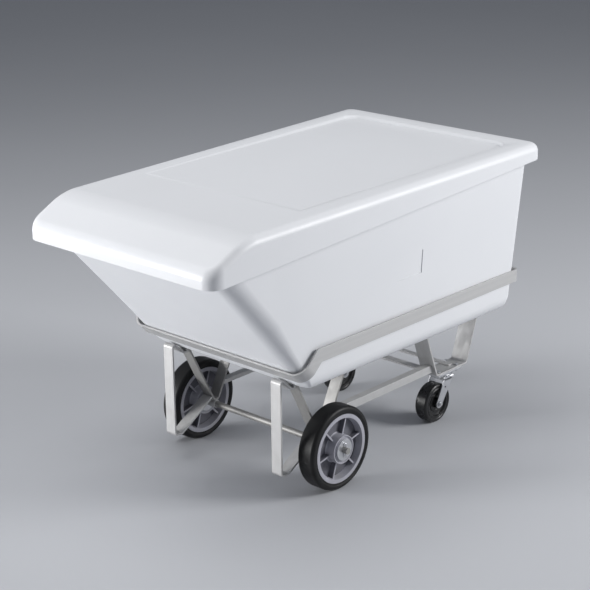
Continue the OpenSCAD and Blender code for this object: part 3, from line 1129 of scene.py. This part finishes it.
@dataclass
class MainWheels:
    """The two large wheels: rubber tyres on ribbed grey cores (metres and degrees)."""

    middle_x: float = 0.279
    radius: float = 0.127
    width: float = 0.060
    tread_round: float = 0.011
    tyre_face: Profile = ((0.112, 0.0300), (0.1105, 0.0288), (0.1085, 0.0288), (0.1046, 0.0280))
    core: float = 0.1045
    core_width: float = 0.0584
    core_face: Profile = ((0.0925, 0.0292), (0.0890, 0.0055), (0.0475, 0.0065), (0.0440, 0.0100),
                          (0.0430, 0.0375), (0.0395, 0.0375), (0.0385, 0.0335),
                          (0.0345, 0.0335), (0.0338, 0.0375), (0.0100, 0.0375))
    ribs: int = 6
    rib_turn: float = -18
    rib_reach: float = 0.0665
    rib_size: Point = (0.044, 0.0055, 0.050)
    # half width about the wheel's middle inside which the web's faces take the painted shade
    painted_shade_web_half: float = 0.0075

    def tyre(self) -> Workpiece:
        """Turn the left tyre.

        Returns:
            The tyre.
        """
        centre = Vector((self.middle_x, AXLE_Y, self.radius))
        tyre = Workpiece.round_bar("main_tyre_rubber_left", centre, self.radius, self.width,
                                   sides=128)
        tyre.turn_ends(self.middle_x, self.tyre_face, hollow=True)
        tyre.pick_border()
        bpy.ops.mesh.bridge_edge_loops()
        tyre.round_tread(centre, self.radius, self.tread_round, 7)
        tyre.clean()
        tyre.ease_edges(0.0004, 1, 25)
        return tyre

    def core_casting(self) -> Workpiece:
        """Turn and rib the left core.

        Returns:
            The core.
        """
        centre = Vector((self.middle_x, AXLE_Y, self.radius))
        core = Workpiece.round_bar("main_core_casting_left", centre, self.core, self.core_width,
                                   sides=128)
        core.turn_ends(self.middle_x, self.core_face)
        core.ease_edges(0.0011)
        ribs = []
        for i in range(self.ribs):
            angle = math.radians(i * 360 / self.ribs + self.rib_turn)
            middle = centre + Vector((0, -math.sin(angle), math.cos(angle))) * self.rib_reach
            half = Vector(self.rib_size) / 2
            ribs.append(Workpiece.block("rib", middle - half, middle + half, angle))
            ribs[-1].ease_edges(0.0012)
        core.join(ribs)
        return core

    def build(self, finishes: Finishes) -> None:
        """Make both wheels and finish their small parts.

        Args:
            finishes: The finishes it takes its own from.
        """
        tyre, core = self.tyre(), self.core_casting()
        twins = tyre.mirrored("main_tyre_rubber_right"), core.mirrored("main_core_casting_right")
        for side, (rubber, casting) in zip(SIDES, ((tyre, core), twins)):
            body = f"main_wheel_{side}"
            rubber.smooth(40)
            casting.smooth()
            dress(rubber, finishes.tyre, body, [f"main_tyre_{side}"])
            dress(casting, finishes.core, body, [f"main_core_{side}"])
            # the web's faces near the wheel's middle take the painted-shade copy of the core finish
            casting.obj.data.materials.append(finishes.core_painted_shade)
            for face in casting.obj.data.polygons:
                face.material_index = int(abs(abs(face.center.x) - self.middle_x) < self.painted_shade_web_half)
            refinish(f"main_bush_{side}", finishes.zinc, 0.0003)
        refinish("axle", finishes.axle, 0.0008)
        refinish("hub_washers", finishes.zinc)
        refinish("cotter_pins", finishes.zinc)


@dataclass
class Casters:
    """The two swivel casters under the tail (places in millimetres, roundings in metres)."""

    x: float = 196
    swivel_y: float = 620
    trail: float = 49
    radius: float = 63.5
    width: float = 44
    tread_round: float = 0.007
    wheel_face: Profile = ((0.0530, 0.0220), (0.0520, 0.0205), (0.0500, 0.0205), (0.0492, 0.0218),
                           (0.0440, 0.0215), (0.0410, 0.0150), (0.0300, 0.0135),
                           (0.0290, 0.0160), (0.0250, 0.0160), (0.0240, 0.0135),
                           (0.0165, 0.0135), (0.0150, 0.0240), (0.0060, 0.0240))
    sheet: float = 0.003
    leg_gap: float = 5.5
    leg_round: float = 0.0145
    leg_height: float = 68
    leg_back: float = 8
    leg_flare: float = 1.42
    hole_back: float = 20
    hole_height: float = 49
    crown_round: float = 0.0085
    crown_low: Point = (29, -24, 133)
    crown_high: Point = (29, 23, 146.4)
    race_z: float = 150
    race_round: float = 0.0275

    def wheel(self) -> Workpiece:
        """Turn the left caster's wheel, tyre and core in one.

        Returns:
            The wheel.
        """
        centre = mm(self.x, self.swivel_y - self.trail, self.radius)
        wheel = Workpiece.round_bar("caster_wheel_turned_left", centre, self.radius / 1000,
                                    self.width / 1000)
        wheel.turn_ends(self.x / 1000, self.wheel_face)
        wheel.round_tread(centre, self.radius / 1000, self.tread_round, 6)
        wheel.ease_edges(0.0005, 1, 25)
        return wheel

    def leg(self, side: float) -> Workpiece:
        """Press one leg of the left fork.

        Args:
            side: 1 for the outer leg, -1 for the inner one.

        Returns:
            The leg.
        """
        x = self.x + side * (self.width / 2 + self.leg_gap)
        leg = Workpiece.round_bar("fork_leg", mm(x, self.swivel_y - self.trail, self.radius),
                                  self.leg_round, self.sheet, sides=40)
        leg.pick_faces(lambda f: abs(f.normal.x) < 0.1 and f.normal.z + 0.4 * f.normal.y > 0.1)
        leg.pull((0, (self.trail - self.leg_back) / 1000, self.leg_height / 1000))
        top = mm(x, self.swivel_y - self.leg_back, self.radius + self.leg_height)
        leg.pick_points(lambda v: (v.co - top).yz.length < self.leg_round + 0.0005)
        leg.grow((1, self.leg_flare, 1), top)
        hole = mm(x, self.swivel_y - self.hole_back, self.radius + self.hole_height)
        leg.cut_away(Workpiece.round_bar("fork_leg_hole", hole, 0.0032, 0.02, sides=20))
        leg.ease_edges(0.0009, 2, 40)
        return leg

    def fork(self) -> Workpiece:
        """Press the left fork: crown, raceway and both legs.

        Returns:
            The fork.
        """
        (half, low_y, low_z), (_, high_y, high_z) = self.crown_low, self.crown_high
        crown = Workpiece.block("caster_fork_pressed_left",
                                mm(self.x - half, self.swivel_y + low_y, low_z),
                                mm(self.x + half, self.swivel_y + high_y, high_z))
        crown.pick_faces(lambda f: f.normal.z < -0.9)
        crown.drop_faces()
        crown.pick_edges(lambda e: all(v.co.z > high_z / 1000 - 0.001 for v in e.verts)
                         and abs(e.verts[0].co.x - e.verts[1].co.x) < 0.001)
        crown.round_over(self.crown_round, 6)
        crown.apply("SOLIDIFY", thickness=self.sheet, offset=-1, use_even_offset=True)
        crown.ease_edges(0.0008, 2, 40)
        middle = mm(self.x, self.swivel_y, self.race_z)
        race = Workpiece.round_bar("raceway", middle, self.race_round, 0.0074, "Z", 64)
        # a narrow groove round the middle of the raceway
        for level in (0.6, -0.6):
            race.saw(mm(0, 0, self.race_z + level), (0, 0, 1))
        race.pick_faces(lambda f: abs(f.normal.z) < 0.1
                        and abs(f.calc_center_median().z - middle.z) < 0.0005)
        race.grow((0.94, 0.94, 1), middle)
        race.ease_edges(0.001)
        crown.join([race, self.leg(1), self.leg(-1)])
        return crown

    def build(self, finishes: Finishes) -> None:
        """Make both casters' wheels and forks and finish the kept parts.

        Args:
            finishes: The finishes it takes its own from.
        """
        wheel, fork = self.wheel(), self.fork()
        twins = (wheel.mirrored("caster_wheel_turned_right"),
                 fork.mirrored("caster_fork_pressed_right"))
        for side, (turned, pressed) in zip(SIDES, ((wheel, fork), twins)):
            turned.smooth(40)
            pressed.smooth()
            dress(turned, finishes.black, f"caster_wheel_{side}",
                  [f"caster_tyre_{side}", f"caster_core_{side}"])
            dress(pressed, finishes.zinc, f"caster_swivel_{side}",
                  [f"caster_fork_{side}"])
            for node, edge in (("caster_axle", 0.0005), ("caster_plate", 0.0008),
                               ("caster_bolts", 0.0006), ("kingpin", 0.0006)):
                refinish(f"{node}_{side}", finishes.zinc, edge)


# ---- studio


@dataclass
class Studio:
    """The pale floor, the soft lights and the camera."""

    target: Point = (0.0, -0.00244, 0.48861)
    distance: float = 4.82377
    azimuth: float = math.radians(42.60)
    elevation: float = math.radians(18.99)
    roll: float = math.radians(-0.56)
    lens: float = 98.476
    room: Point = (0.49, 0.52, 0.58)
    room_strength: float = 0.34
    floor_dark: Point = (0.50, 0.51, 0.535)
    floor_pale: Point = (0.53, 0.54, 0.565)

    def build(self) -> None:
        """Set up the studio."""
        self._floor()
        self._world()
        self._light("left_softbox", (-3.7, -4.8, 0.95), (0, -0.4, 0.5), 2.0, 305)
        self._light("right_softbox", (4.3, 3.3, 2.7), (0, 0.2, 0.5), 2.2, 255)
        self._light("top_softbox", (-0.8, -0.9, 4.0), (0, -0.1, 0.5), 2.8, 70)
        self._camera()

    def _floor(self) -> None:
        """Lay the floor."""
        Workpiece.clear_bench()
        bpy.ops.mesh.primitive_plane_add(size=40)
        floor = bpy.context.object
        floor.name = "studio_floor"
        material = bpy.data.materials.new("studio_floor")
        material.use_nodes = True
        graph = Graph(material.node_tree)
        shader = graph.tree.nodes["Principled BSDF"]
        shader.inputs["Roughness"].default_value = 0.7
        place = graph.add("TexCoord")["Object"]
        cloud = graph.add("TexNoise", {"Scale": 0.8}, {"Vector": place})
        tone = graph.add("Mix", {"A": (*self.floor_dark, 1), "B": (*self.floor_pale, 1)},
                         {"Factor": cloud["Fac"]}, data_type="RGBA")
        graph.tree.links.new(tone["Result"], shader.inputs["Base Color"])
        floor.data.materials.append(material)

    def _world(self) -> None:
        """Light the room evenly."""
        world = bpy.data.worlds.new("studio")
        world.use_nodes = True
        background = world.node_tree.nodes["Background"]
        background.inputs["Color"].default_value = (*self.room, 1)
        background.inputs["Strength"].default_value = self.room_strength
        bpy.context.scene.world = world
        bpy.context.scene.view_settings.view_transform = "Standard"

    @staticmethod
    def _light(name: str, place: Point, aim: Point, size: float, watts: float) -> None:
        """Hang one soft light.

        Args:
            name: The light's name.
            place: Where it hangs.
            aim: The point it faces.
            size: Its side.
            watts: Its power.
        """
        lamp = bpy.data.lights.new(name, "AREA")
        lamp.shape = "SQUARE"
        lamp.size = size
        lamp.energy = watts
        obj = bpy.data.objects.new(name, lamp)
        bpy.context.scene.collection.objects.link(obj)
        obj.location = place
        obj.rotation_euler = (Vector(place) - Vector(aim)).to_track_quat("Z", "Y").to_euler()

    def _camera(self) -> None:
        """Place the camera."""
        a, e = self.azimuth, self.elevation
        back = Vector((math.sin(a) * math.cos(e), -math.cos(a) * math.cos(e), math.sin(e)))
        right = Vector((math.cos(a), math.sin(a), 0))
        up = back.cross(right)
        c, s = math.cos(self.roll), math.sin(self.roll)
        across, along = right * c + up * s, up * c - right * s
        lens = bpy.data.cameras.new("camera")
        lens.lens = self.lens
        lens.sensor_width = 36
        lens.clip_end = 100
        obj = bpy.data.objects.new("camera", lens)
        bpy.context.scene.collection.objects.link(obj)
        turn = Matrix((across, along, back)).transposed().to_4x4()
        obj.matrix_world = Matrix.Translation(Vector(self.target) + back * self.distance) @ turn
        bpy.context.scene.camera = obj


def main() -> None:
    """Build the truck and its studio."""
    logging.basicConfig(level=logging.INFO, format="%(name)s %(message)s")
    finishes = Finishes()
    for part in (Lid(), Tub(), Band(), Undercarriage(), MainWheels(), Casters()):
        part.build(finishes)
        LOG.info("%s done", type(part).__name__)
    Studio().build()
    Workpiece.clear_bench()


if __name__ == "__main__":
    main()
